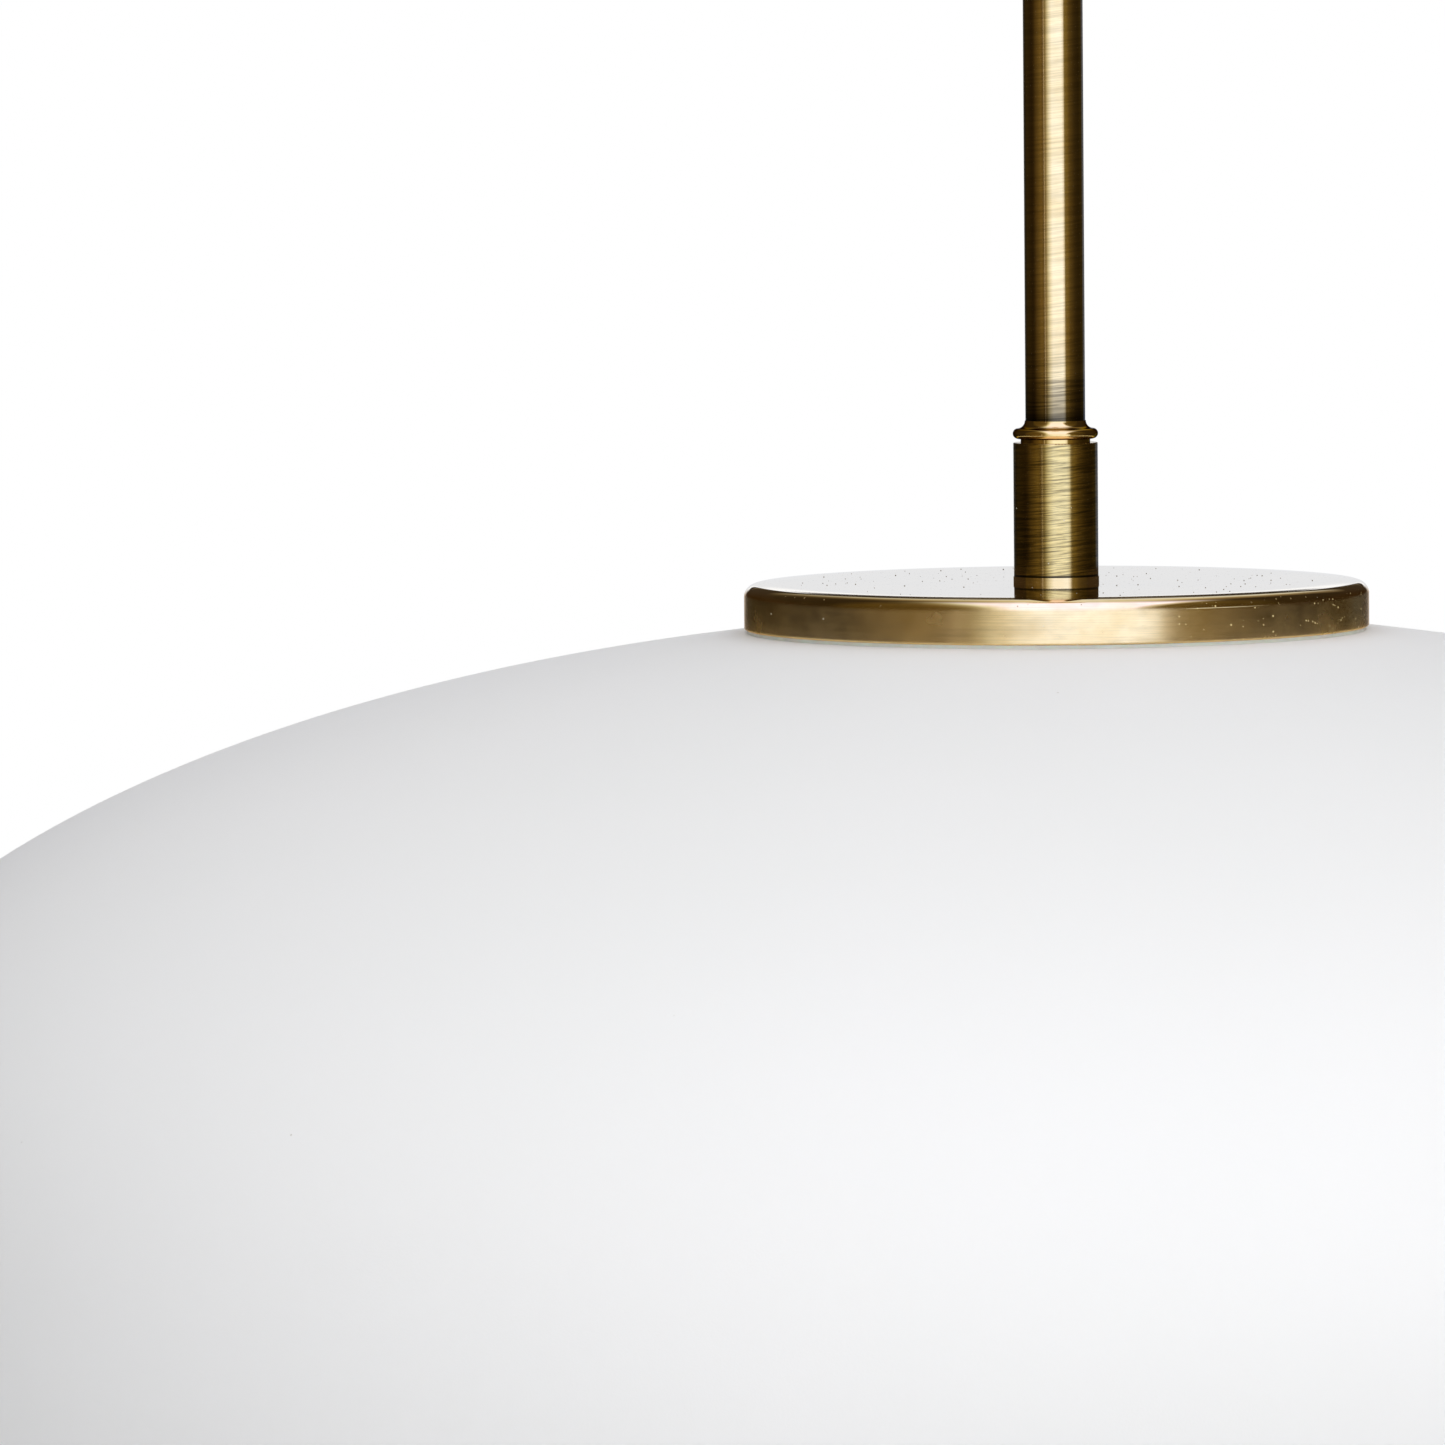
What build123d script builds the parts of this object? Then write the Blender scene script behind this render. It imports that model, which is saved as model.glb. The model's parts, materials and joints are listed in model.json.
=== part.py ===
"""Pendant ceiling light: an opal glass saucer shade under a brass cap, on a brass rod.

Frame: the origin is the middle of the face that lies on the ceiling. +Z points up into the
ceiling, so the whole light hangs in -Z. +X runs along the ceiling bracket. Millimetres.
"""

import math
import os

from build123d import *

# ---------------------------------------------------------------- driving dimensions
ROD_R = 5.0                 # brass rod, M10 x 1 at both ends
ROD_BORE_R = 4.0
ROD_VISIBLE = 500.0         # from the canopy's underside to the swivel bead

LEAD_R = 3.0                # round sheath of the lead
LEAD_GAP = 0.3              # between two lengths of the lead, where it bends or twists
CORE_R = 1.1                # each insulated core

CANOPY_R = 52.1
CANOPY_H = 40.0
CANOPY_WALL = 1.0
EDGE_R = 2.0                # rounded edge of the canopy and of the shade cap
FOOT_EDGE_R = 0.25          # rounded lower edge of the shade cap
CANOPY_HOLE_R = 2.2         # for the thumb screws
STRAP_T = 2.0
STRAP_W = 24.0
TAB_HALF_W = 17.0           # tab that holds the terminal block
TAB_OVERHANG = 3.0
STRAP_END = 49.5            # outer face of the strap's bent ears
EAR_DROP = 16.0
EAR_HALF_W = 8.0
EAR_HOLE_R = 2.05
SIDE_SCREW_Z = -8.0
CEILING_SLOT_X = 30.0
CEILING_SLOT_R = 2.5
CEILING_SLOT_LENGTH = 16.0
CABLE_ENTRY_R = 6.0
THUMB_SCREW_R = 2.0
THUMB_HEAD_R = 3.6
THUMB_SCREW_TIP = 44.5      # from the canopy's axis
KNURLS = 20

BALL_R = 11.0
BALL_TOP = 6.5              # flat on top of the ball, above its centre
BALL_FOOT = 9.5             # flat at its foot, below its centre
CUP_T = 1.2                 # nylon cup between the ball and the seat
CUP_ANGLES = (55, 80)       # its two edges, in degrees up from straight down
BALL_PLAY = 0.08            # air between ball, cup and seat
SEAT_R = BALL_R + CUP_T + 2 * BALL_PLAY
SEAT_DEPTH = 8.0            # from the ball's centre down to the canopy's floor
SEAT_H = 6.0
SEAT_OUT_R = 18.0
BALL_THROAT = LEAD_R + 0.5  # radius of the way for the lead
BALL_FLARE = 0.43           # how fast it widens above the ball's centre

SWIVEL_R = 7.06             # sleeve
BEAD_R = 7.12
BEAD_H = 1.73
NECK_R = 5.8
NECK_GAP = 0.63
SLEEVE_H = 22.3
SLEEVE_EDGE_R = 0.15
SLEEVE_BORE_DEPTH = 15.0
SPINDLE_LENGTH = 14.0
SPINDLE_PLAY = 0.06
ROD_SEAT = 8.0              # how far the rod goes into the spindle
HUB_R = 6.2                 # foot of the hollow cone from the bead up to the rod
HUB_H = 1.3
GROOVE_DROP = 9.2           # stop groove's middle, below the sleeve's top
GROOVE_W = 2.2
GROOVE_DEPTH = 0.6
GROOVE_ARC = 330.0
GRUB_R = 1.44               # screw in the back of the sleeve, in a hole of
GRUB_HOLE_R = 1.5
GRUB_TIP_R = 0.95
GRUB_SOCKET_R = 0.8
WASHER_H = 0.9

CAP_R = 52.1
CAP_H = 7.6
CAP_WALL = 1.4
CAP_HOLE_R = 5.1
CAP_INNER_EDGE_R = 1.0
THREAD_R = 44.4             # inside of the ring that the shade screws into
THREAD_RING_R = 48.0
THREAD_RING_FOOT = 6.4
LOCK_WASHER_T = 0.8
LOCK_WASHER_R = 7.6
LOCK_WASHER_TEETH = 12

SHADE_A = 215.0             # half the shade's diameter
SHADE_B = 92.5              # half the height of its ellipse
SHADE_DROP = 98.0           # from the cap's top to the ellipse's centre
GLASS_T = 2.6
NECK_HOLE_R = 40.0
NECK_SEAT = 7.7             # ground seat round the hole, below the cap's top
GROUND_SEAT_R = 47.4
NECK_RING_R = 44.32
NECK_RING_IN_R = 37.0
NECK_RING_TOP = 1.9
NECK_RING_DEPTH = 4.5       # below the ground seat
GASKET_R = (46.5, 51.6)

NIPPLE_BORE_R = 3.75
NIPPLE_TOP = 6.9
NIPPLE_FOOT = 15.0
STRIPPED_DEPTH = 17.0       # where the sheath is stripped, in the lampholder
NUT_FLATS = 14.0
NUT_T = 3.0
HOLDER_R = 20.5
HOLDER_TOP = 8.0
HOLDER_SPLIT = 28.0
HOLDER_MOUTH = 64.0
HOLDER_MOUTH_R = 14.8
HOLDER_SHOULDER = 19.0      # where the dome's curve meets its straight wall
HOLDER_NECK_R = 9.0
HOLDER_WALL = 2.0
DOME_R, DOME_IN_R = 13.0, 11.0
JOINT_GAP = 0.2             # between the holder's shells
FLUTES = 24
FLUTE_R = 0.8
BARREL_R = 14.5             # bore of the porcelain round the screw shell
INSERT_FLOOR = 34.0
SHELL_FOOT = 60.0
SHELL_TOP = 36.0
SHELL_R = 13.5
E27_PITCH = 3.6
TONGUE_T = 0.5              # centre contact
TONGUE_HALF_W = 2.5
BULB_TIP = 38.6
BULB_CAP_R = 13.1
BULB_CAP_TOP = 43.0
BULB_CAP_FOOT = 64.2
BULB_WAIST = 104.0
BULB_R = 30.0
BULB_CENTRE = 113.0
BULB_SKIN = 1.0
BULB_TIP_H = 1.4
BULB_TIP_R = 4.8
BOARD_R = 22.0
BOARD_T = 1.2
LEDS = 10
LED_CIRCLE_R = 15.0
LED_SIZE = (3.5, 3.0, 0.8)

# ---------------------------------------------------------------- levels, downwards
PIVOT_Z = -(CANOPY_H - CANOPY_WALL) + SEAT_DEPTH
ROD_TOP = PIVOT_Z - 3.8
BEAD_TOP = -(CANOPY_H + ROD_VISIBLE)
ROD_FOOT = BEAD_TOP - ROD_SEAT
SLEEVE_TOP = BEAD_TOP - BEAD_H - NECK_GAP
SLEEVE_FOOT = SLEEVE_TOP - SLEEVE_H
SPINDLE_FOOT = BEAD_TOP - BEAD_H - SPINDLE_LENGTH
CAP_TOP = SLEEVE_FOOT - WASHER_H
SHADE_Z = CAP_TOP - SHADE_DROP
LEAD_TOP = -13.5            # where the sheath is stripped, in the canopy
GRIP_TOP = -15.0
GRIP_FOOT = -20.5
TERMINAL_Y = (16.0, 34.0)
TERMINAL_FOOT = -14.0
WIRE_Z = -7.0               # level of the cores in the terminal block
POLES_X = (-11.0, 0.0, 11.0)
POLE_HALF = 3.6
TERMINAL_BASE = -10.0       # underside of the moulding between the poles
TERMINAL_EDGE = 1.4         # beyond the outer poles
WIRE_HOLE_R = 1.6
CLAMP_SCREW_R, CLAMP_HOLE_R = 1.95, 2.1
MOUNT_SCREW_R, MOUNT_HOLE_R = 1.2, 1.3
MOUNT_HEAD_R, MOUNT_HEAD_H = 1.8, 1.4
GRIP_R = 6.5
GRIP_SCREW_R = 0.8
GRIP_SPLIT = 0.4            # half the width of its cut
BEND_R = 3.0                # bends of the supply's cores
CORE_SIDE = 1.4             # how far the holder's cores start from the middle
CORE_END = 9.0              # and where they end
HOLDER_BEND_R = 2.2

FROM_FOOT = (Align.CENTER, Align.CENTER, Align.MIN)


# ---------------------------------------------------------------- helpers
def turned(*outline):
    """Solid turned about Z from a closed outline of (radius, z) points."""
    return revolve(Plane.XZ * make_face(Polyline(*outline, close=True)), Axis.Z)


def turned_from(lines):
    """Solid turned about Z from joined lines and arcs drawn in (radius, z)."""
    return revolve(Plane.XZ * make_face(lines), Axis.Z)


def ring(r_in, r_out, foot, top):
    return turned((r_in, foot), (r_out, foot), (r_out, top), (r_in, top))


def rod(radius, foot, top, x=0.0, y=0.0):
    return Pos(x, y, foot) * Cylinder(radius, top - foot, align=FROM_FOOT)


def rod_along(axis_plane, radius, start, length):
    """Round bar of that length from start, along the plane's normal."""
    plane = Plane(start, x_dir=axis_plane.x_dir, z_dir=axis_plane.z_dir)
    return extrude(plane * Circle(radius), length)


def block(x, y, z):
    """Box between two values on each axis."""
    size = [high - low for low, high in (x, y, z)]
    centre = [(high + low) / 2 for low, high in (x, y, z)]
    return Pos(*centre) * Box(*size)


def rounded(solid, radius_of_edge, z, radius):
    """The solid with its circular edge of that radius, at level z, rounded."""
    picked = [
        edge
        for edge in solid.edges().filter_by(GeomType.CIRCLE)
        if abs(edge.radius - radius_of_edge) < 0.01 and abs(edge.arc_center.Z - z) < 0.01
    ]
    return fillet(picked, radius)


def cap_level(depth):
    """Level of a feature given by its depth under the shade cap's top face."""
    return CAP_TOP - depth


# ---------------------------------------------------------------- ceiling parts
def ceiling_bracket():
    """Steel strap with two bent ears for the canopy's screws and a tab for the terminals."""
    strap = block((-STRAP_END, STRAP_END), (-STRAP_W / 2, STRAP_W / 2), (-STRAP_T, 0))
    tab = (-TAB_HALF_W, TAB_HALF_W), (STRAP_W / 2, TERMINAL_Y[1] + TAB_OVERHANG)
    strap += block(*tab, (-STRAP_T, 0))
    for side in (-1, 1):
        inner, outer = sorted((side * (STRAP_END - STRAP_T), side * STRAP_END))
        ear = block((inner, outer), (-EAR_HALF_W, EAR_HALF_W), (-EAR_DROP, -STRAP_T))
        hole = rod_along(Plane.YZ, EAR_HOLE_R, (inner - 1, 0, SIDE_SCREW_Z), STRAP_T + 2)
        slot = SlotOverall(CEILING_SLOT_LENGTH, 2 * CEILING_SLOT_R)
        strap += ear - hole
        strap -= Pos(side * CEILING_SLOT_X, 0, -STRAP_T) * extrude(slot, STRAP_T)
    strap -= rod(CABLE_ENTRY_R, -STRAP_T, 0)
    strap -= rod(MOUNT_HOLE_R, -STRAP_T, 0, *terminal_screw_place())
    return strap


def terminal_screw_place():
    return POLES_X[2] / 2, sum(TERMINAL_Y) / 2


def canopy():
    """Spun brass cup, open to the ceiling, with the ball's opening in its floor."""
    wall_in, floor = CANOPY_R - CANOPY_WALL, -CANOPY_H + CANOPY_WALL
    hole = math.sqrt(SEAT_R**2 - SEAT_DEPTH**2) + 0.1
    cup = turned(
        (hole, -CANOPY_H), (CANOPY_R, -CANOPY_H), (CANOPY_R, 0),
        (wall_in, 0), (wall_in, floor), (hole, floor),
    )
    cup = rounded(cup, CANOPY_R, -CANOPY_H, EDGE_R)
    cup = rounded(cup, wall_in, floor, EDGE_R - CANOPY_WALL)
    start = (-CANOPY_R - 1, 0, SIDE_SCREW_Z)
    return cup - rod_along(Plane.YZ, CANOPY_HOLE_R, start, 2 * CANOPY_R + 2)


def canopy_side_screws():
    """Two knurled brass thumb screws that hold the canopy to the bracket's ears."""
    tip, head_in = THUMB_SCREW_TIP, CANOPY_R + 0.1
    head_height, point, bevel = 4.5, 0.5, 0.6
    head_out = head_in + head_height
    screw = turned(
        (0, tip), (THUMB_SCREW_R - point, tip), (THUMB_SCREW_R, tip + point),
        (THUMB_SCREW_R, head_in), (THUMB_HEAD_R, head_in), (THUMB_HEAD_R, head_out - bevel),
        (THUMB_HEAD_R - bevel, head_out), (0, head_out),
    )
    knurl_width, knurl_depth = 0.45, 0.1
    knurl = Box(2 * knurl_depth + 0.3, knurl_width, head_height, align=FROM_FOOT)
    knurl = Pos(THUMB_HEAD_R + 0.15, 0, head_in + bevel) * knurl
    for n in range(KNURLS):
        screw -= Rot(0, 0, 360 / KNURLS * n) * knurl
    slot_width, slot_depth = 0.9, 0.8
    screw -= Pos(0, 0, head_out) * Box(2 * THUMB_HEAD_R + 1, slot_width, 2 * slot_depth)
    right = Pos(0, 0, SIDE_SCREW_Z) * Rot(0, 90, 0) * screw
    return Compound(children=[right, Rot(0, 0, 180) * right])


def seat_ring():
    """Turned steel ring in the canopy's floor, with the spherical seat."""
    floor = PIVOT_Z - SEAT_DEPTH
    top = floor + SEAT_H
    low_r = math.sqrt(SEAT_R**2 - (PIVOT_Z - floor) ** 2)
    high_r = math.sqrt(SEAT_R**2 - (PIVOT_Z - top) ** 2)
    low, high = (math.degrees(math.asin(r / SEAT_R)) for r in (low_r, high_r))
    lines = ThreePointArc((low_r, floor), on_ball(SEAT_R, (low + high) / 2), (high_r, top))
    lines += Polyline(
        (high_r, top), (SEAT_OUT_R, top), (SEAT_OUT_R, floor), (low_r, floor)
    )
    return turned_from(lines)


def on_ball(radius, angle):
    """Point at that radius from the ball's centre, so many degrees up from straight down."""
    turn = math.radians(angle)
    return radius * math.sin(turn), PIVOT_Z - radius * math.cos(turn)


def swivel_cup():
    """Nylon cup, a zone of a sphere, that slides between the ball and its seat."""
    low, high = CUP_ANGLES
    middle = (low + high) / 2
    inner, outer = BALL_R + BALL_PLAY, BALL_R + BALL_PLAY + CUP_T
    lines = ThreePointArc(on_ball(outer, low), on_ball(outer, middle), on_ball(outer, high))
    lines += Line(on_ball(outer, high), on_ball(inner, high))
    lines += ThreePointArc(on_ball(inner, high), on_ball(inner, middle), on_ball(inner, low))
    lines += Line(on_ball(inner, low), on_ball(outer, low))
    return turned_from(lines)


def terminal_block():
    """Moulded three-pole block under the bracket's tab."""
    low_y, high_y = TERMINAL_Y
    half = POLES_X[2] + POLE_HALF + TERMINAL_EDGE
    body = block((-half, half), (low_y, high_y), (TERMINAL_BASE, -STRAP_T))
    for x in POLES_X:
        pole = (x - POLE_HALF, x + POLE_HALF)
        body += block(pole, (low_y, high_y), (TERMINAL_FOOT, -STRAP_T))
    for x in POLES_X:
        body -= rod_along(Plane.XZ, WIRE_HOLE_R, (x, high_y + 1, WIRE_Z), high_y - low_y + 2)
        for y in terminal_rows():
            body -= rod(CLAMP_HOLE_R, TERMINAL_FOOT, WIRE_Z, x, y)
    body -= rod(MOUNT_HOLE_R, TERMINAL_FOOT, -STRAP_T, *terminal_screw_place())
    return body


def terminal_rows():
    inset = 4.5
    return TERMINAL_Y[0] + inset, TERMINAL_Y[1] - inset


def terminal_screws():
    """Six brass clamping screws, each with a slot."""
    screws = []
    head, tip = TERMINAL_FOOT + 0.6, WIRE_Z - 1.8
    slot_width, slot_depth = 0.6, 0.7
    for x in POLES_X:
        for y in terminal_rows():
            slot = Pos(x, y, head) * Box(3 * CLAMP_SCREW_R, slot_width, 2 * slot_depth)
            screws.append(rod(CLAMP_SCREW_R, head, tip, x, y) - slot)
    return Compound(children=screws)


def terminal_mount_screw():
    """Small slotted screw, between two poles, that holds the block to the tab."""
    x, y = terminal_screw_place()
    head_foot, tip = TERMINAL_BASE - MOUNT_HEAD_H, -0.3
    slot_width, slot_depth = 0.5, 0.6
    screw = rod(MOUNT_SCREW_R, TERMINAL_BASE, tip, x, y)
    screw += rod(MOUNT_HEAD_R, head_foot, TERMINAL_BASE, x, y)
    return screw - Pos(x, y, head_foot) * Box(3 * MOUNT_HEAD_R, slot_width, 2 * slot_depth)


def cord_grip():
    """Clamping collar on the sheath: it can't pass down through the ball."""
    edge, beyond = 0.8, GRIP_R + 1.5
    body = ring(LEAD_R + 0.02, GRIP_R, GRIP_FOOT, GRIP_TOP)
    body = rounded(body, GRIP_R, GRIP_TOP, edge)
    body -= block((-GRIP_SPLIT, GRIP_SPLIT), (0, beyond), (GRIP_FOOT, GRIP_TOP))
    screw_y, middle = (LEAD_R + GRIP_R) / 2, (GRIP_TOP + GRIP_FOOT) / 2
    return body - rod_along(Plane.YZ, GRIP_SCREW_R, (-beyond, screw_y, middle), 2 * beyond)


def canopy_lead():
    """Sheathed lead from the ball's centre up to where it is stripped."""
    return rod(LEAD_R, PIVOT_Z, LEAD_TOP) + Pos(0, 0, PIVOT_Z) * Sphere(LEAD_R)


def supply_core(x, y, pole_x):
    """Insulated core, bent over from the stripped sheath into its terminal."""
    end_y, turn_y = TERMINAL_Y[0] + 3.5, TERMINAL_Y[0] - 3.0
    points = [(x, y, LEAD_TOP), (x, y, WIRE_Z)]
    if pole_x:
        points.append((pole_x, turn_y, WIRE_Z))
    path = FilletPolyline(*points, (pole_x, end_y, WIRE_Z), radius=BEND_R)
    return sweep(Plane(path @ 0, z_dir=path % 0) * Circle(CORE_R), path)


# ---------------------------------------------------------------- rod and swivel
def swivel_ball():
    """Brass ball on the rod's top end, flared above its centre for the lead."""
    foot_r = math.sqrt(BALL_R**2 - BALL_FOOT**2)
    top_r = math.sqrt(BALL_R**2 - BALL_TOP**2)
    mouth_r = BALL_THROAT + BALL_FLARE * BALL_TOP
    foot, top = PIVOT_Z - BALL_FOOT, PIVOT_Z + BALL_TOP
    lines = ThreePointArc((foot_r, foot), (BALL_R, PIVOT_Z), (top_r, top))
    lines += Polyline(
        (top_r, top), (mouth_r, top), (BALL_THROAT, PIVOT_Z),
        (BALL_THROAT, ROD_TOP), (ROD_R, ROD_TOP), (ROD_R, foot), (foot_r, foot),
    )
    return turned_from(lines)


def stem_rod():
    """Drawn brass tube between the ball and the swivel."""
    return ring(ROD_BORE_R, ROD_R, ROD_FOOT, ROD_TOP)


def stem_lead():
    """Sheathed lead inside the rod."""
    return rod(LEAD_R, SPINDLE_FOOT, PIVOT_Z - LEAD_R - LEAD_GAP)


def swivel_spindle():
    """Turned brass hub, bead and spindle, with a groove that stops the turn."""
    half = BEAD_H / 2
    bead_foot = BEAD_TOP - BEAD_H
    lines = Polyline(
        (ROD_BORE_R, SPINDLE_FOOT), (NECK_R, SPINDLE_FOOT), (NECK_R, bead_foot),
        (BEAD_R - half, bead_foot),
    )
    lines += ThreePointArc(
        (BEAD_R - half, bead_foot), (BEAD_R, bead_foot + half), (BEAD_R - half, BEAD_TOP)
    )
    hub_top, lip = BEAD_TOP + HUB_H, ROD_R + 0.1
    lines += Line((BEAD_R - half, BEAD_TOP), (HUB_R, BEAD_TOP))
    lines += RadiusArc((HUB_R, BEAD_TOP), (lip, hub_top), HUB_H)
    lines += Polyline(
        (lip, hub_top), (ROD_R, hub_top), (ROD_R, ROD_FOOT),
        (ROD_BORE_R, ROD_FOOT), (ROD_BORE_R, SPINDLE_FOOT),
    )
    spindle = turned_from(lines)
    level = SLEEVE_TOP - GROOVE_DROP
    cut = Plane.XZ * Pos(NECK_R, level) * Rectangle(2 * GROOVE_DEPTH, GROOVE_W)
    groove = revolve(cut, Axis.Z, revolution_arc=GROOVE_ARC)
    return spindle - Rot(0, 0, 90 - GROOVE_ARC / 2) * groove


def swivel_sleeve():
    """Brass sleeve that turns on the spindle and screws on to the nipple."""
    bore = NECK_R + SPINDLE_PLAY
    shoulder = SLEEVE_TOP - SLEEVE_BORE_DEPTH
    sleeve = turned(
        (ROD_R, SLEEVE_FOOT), (SWIVEL_R, SLEEVE_FOOT), (SWIVEL_R, SLEEVE_TOP),
        (bore, SLEEVE_TOP), (bore, shoulder), (ROD_R, shoulder),
    )
    sleeve = rounded(sleeve, SWIVEL_R, SLEEVE_TOP, SLEEVE_EDGE_R)
    start, depth = (0, SWIVEL_R + 1, SLEEVE_TOP - GROOVE_DROP), 4.0
    hole = rod_along(Plane.XZ, GRUB_HOLE_R, start, depth)
    return sleeve - hole


def retaining_screw():
    """Grub screw in the back of the sleeve; its tip rides in the spindle's groove."""
    level = SLEEVE_TOP - GROOVE_DROP
    outer, tip_base = SWIVEL_R - 0.25, NECK_R + 0.2
    screw = rod_along(Plane.XZ, GRUB_R, (0, outer, level), outer - tip_base)
    screw += rod_along(Plane.XZ, GRUB_TIP_R, (0, tip_base, level), GROOVE_DEPTH)
    socket = Plane((0, outer, level), x_dir=(1, 0, 0), z_dir=(0, -1, 0))
    socket_depth = 0.6
    return screw - extrude(socket * RegularPolygon(GRUB_SOCKET_R, 6), socket_depth)


# ---------------------------------------------------------------- shade cap
def base_washer():
    return ring(CAP_HOLE_R, SWIVEL_R + 0.1, CAP_TOP, SLEEVE_FOOT)


def shade_cap():
    """Turned brass disc with rounded edges, hollow underneath."""
    foot, inside = cap_level(CAP_H), cap_level(CAP_WALL)
    cap = turned(
        (CAP_HOLE_R, inside), (CAP_R - CAP_WALL, inside), (CAP_R - CAP_WALL, foot),
        (CAP_R, foot), (CAP_R, CAP_TOP), (CAP_HOLE_R, CAP_TOP),
    )
    cap = rounded(cap, CAP_R, CAP_TOP, EDGE_R)
    cap = rounded(cap, CAP_R, foot, FOOT_EDGE_R)
    return rounded(cap, CAP_R - CAP_WALL, inside, CAP_INNER_EDGE_R)


def cap_thread_ring():
    """Aluminium ring brazed inside the cap; the shade's neck ring screws into it."""
    return ring(THREAD_R, THREAD_RING_R, cap_level(THREAD_RING_FOOT), cap_level(CAP_WALL))


def threaded_nipple():
    return ring(NIPPLE_BORE_R, ROD_R, cap_level(NIPPLE_FOOT), CAP_TOP + NIPPLE_TOP)


def lock_washer():
    """Washer with outer teeth, under the nut."""
    top, foot = cap_level(CAP_WALL), cap_level(CAP_WALL + LOCK_WASHER_T)
    tooth_length, tooth_width = 1.4, 1.6
    washer = ring(CAP_HOLE_R, LOCK_WASHER_R, foot, top)
    tooth = Box(2 * tooth_length, tooth_width, LOCK_WASHER_T, align=FROM_FOOT)
    tooth = Pos(LOCK_WASHER_R, 0, foot) * tooth
    for n in range(LOCK_WASHER_TEETH):
        washer += Rot(0, 0, 360 / LOCK_WASHER_TEETH * n) * tooth
    return washer


def nipple_nut():
    """Thin hexagon nut."""
    foot = cap_level(CAP_WALL + LOCK_WASHER_T + NUT_T)
    hexagon = RegularPolygon(NUT_FLATS / 2, 6, major_radius=False) - Circle(ROD_R)
    return Pos(0, 0, foot) * extrude(hexagon, NUT_T)


# ---------------------------------------------------------------- lampholder
def holder_dome():
    """Upper cover of the lampholder, screwed on to the nipple."""
    top, shoulder, foot = (cap_level(d) for d in (HOLDER_TOP, HOLDER_SHOULDER, HOLDER_SPLIT))
    bore, inner_shoulder = HOLDER_R - HOLDER_WALL, shoulder - 0.5
    inner_top, collar_foot = top - HOLDER_WALL - 0.6, cap_level(NIPPLE_FOOT)
    lines = Line((ROD_R, top), (HOLDER_NECK_R, top))
    lines += RadiusArc((HOLDER_NECK_R, top), (HOLDER_R, shoulder), DOME_R)
    lines += Polyline((HOLDER_R, shoulder), (HOLDER_R, foot), (bore, foot), (bore, inner_shoulder))
    lines += RadiusArc((bore, inner_shoulder), (HOLDER_NECK_R, inner_top), -DOME_IN_R)
    lines += Polyline(
        (HOLDER_NECK_R, inner_top), (HOLDER_NECK_R, collar_foot),
        (ROD_R, collar_foot), (ROD_R, top),
    )
    return turned_from(lines)


def holder_body():
    """Lower shell of the lampholder, ribbed for the fingers and flared at its mouth."""
    bore = HOLDER_R - HOLDER_WALL - JOINT_GAP
    top, foot, ledge = (
        cap_level(d) for d in (HOLDER_SPLIT + JOINT_GAP, HOLDER_MOUTH, SHELL_FOOT + 0.4)
    )
    lip, lip_height = 1.0, 2.0
    body = turned(
        (bore, top), (HOLDER_R, top), (HOLDER_R, foot + 2 * lip_height),
        (HOLDER_R + lip, foot + lip_height), (HOLDER_R + lip, foot),
        (HOLDER_MOUTH_R, foot), (HOLDER_MOUTH_R, ledge), (bore, ledge),
    )
    flute_foot, flute_length = foot + 8.0, 20.0
    flute = Cylinder(FLUTE_R, flute_length, align=FROM_FOOT)
    flute = Pos(HOLDER_R + 0.3, 0, flute_foot) * flute
    for n in range(FLUTES):
        body -= Rot(0, 0, 360 / FLUTES * n) * flute
    return body


def holder_insert():
    """Glazed porcelain block: floor with two wire holes, and a barrel round the screw shell."""
    outer = HOLDER_R - HOLDER_WALL - 0.5
    top, floor, foot = (
        cap_level(d) for d in (HOLDER_SPLIT + JOINT_GAP, INSERT_FLOOR, SHELL_FOOT)
    )
    insert = turned((0, floor), (BARREL_R, floor), (BARREL_R, foot), (outer, foot), (outer, top), (0, top))
    wire_hole_r, wire_hole_depth = 1.5, 3.0
    for side in (-1, 1):
        x = side * CORE_END
        insert -= rod(wire_hole_r, cap_level(HOLDER_SPLIT + wire_hole_depth), cap_level(HOLDER_SPLIT), x)
    return insert


def wavy_wall(r_low, r_high, foot, top, thickness):
    """Outline of a thin wall pressed into round thread waves, in (radius, z)."""
    turns = int((top - foot) / E27_PITCH)
    step = (top - foot) / (2 * turns)
    outer = [
        (r_high if n % 2 else r_low, foot + n * step) for n in range(2 * turns + 1)
    ]
    inner = [(r - thickness, z) for r, z in reversed(outer)]
    return outer + inner


def holder_screw_shell():
    """Brass E27 screw shell."""
    sheet, wave = 0.4, 0.5
    outline = wavy_wall(
        SHELL_R + sheet, SHELL_R + sheet + wave, cap_level(SHELL_FOOT), cap_level(SHELL_TOP), sheet
    )
    return turned(*outline)


def holder_centre_contact():
    """Sprung phosphor-bronze tongue that presses on the bulb's tip."""
    floor, tip = cap_level(INSERT_FLOOR), cap_level(BULB_TIP) + 0.1
    root_x, bend_x, touch_x, end_x, upturn = 11.0, 3.5, -1.5, -3.0, 0.4
    strip = Polyline(
        (root_x, floor), (bend_x, floor), (touch_x, tip + TONGUE_T),
        (end_x, tip + TONGUE_T + upturn), (end_x, tip + upturn), (touch_x, tip),
        (bend_x + 0.2, floor - TONGUE_T), (root_x, floor - TONGUE_T), close=True,
    )
    return extrude(Plane.XZ * make_face(strip), TONGUE_HALF_W, both=True)


def head_lead():
    """Sheathed lead from the swivel through the nipple into the lampholder."""
    return rod(LEAD_R, cap_level(STRIPPED_DEPTH), SPINDLE_FOOT - LEAD_GAP)


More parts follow.
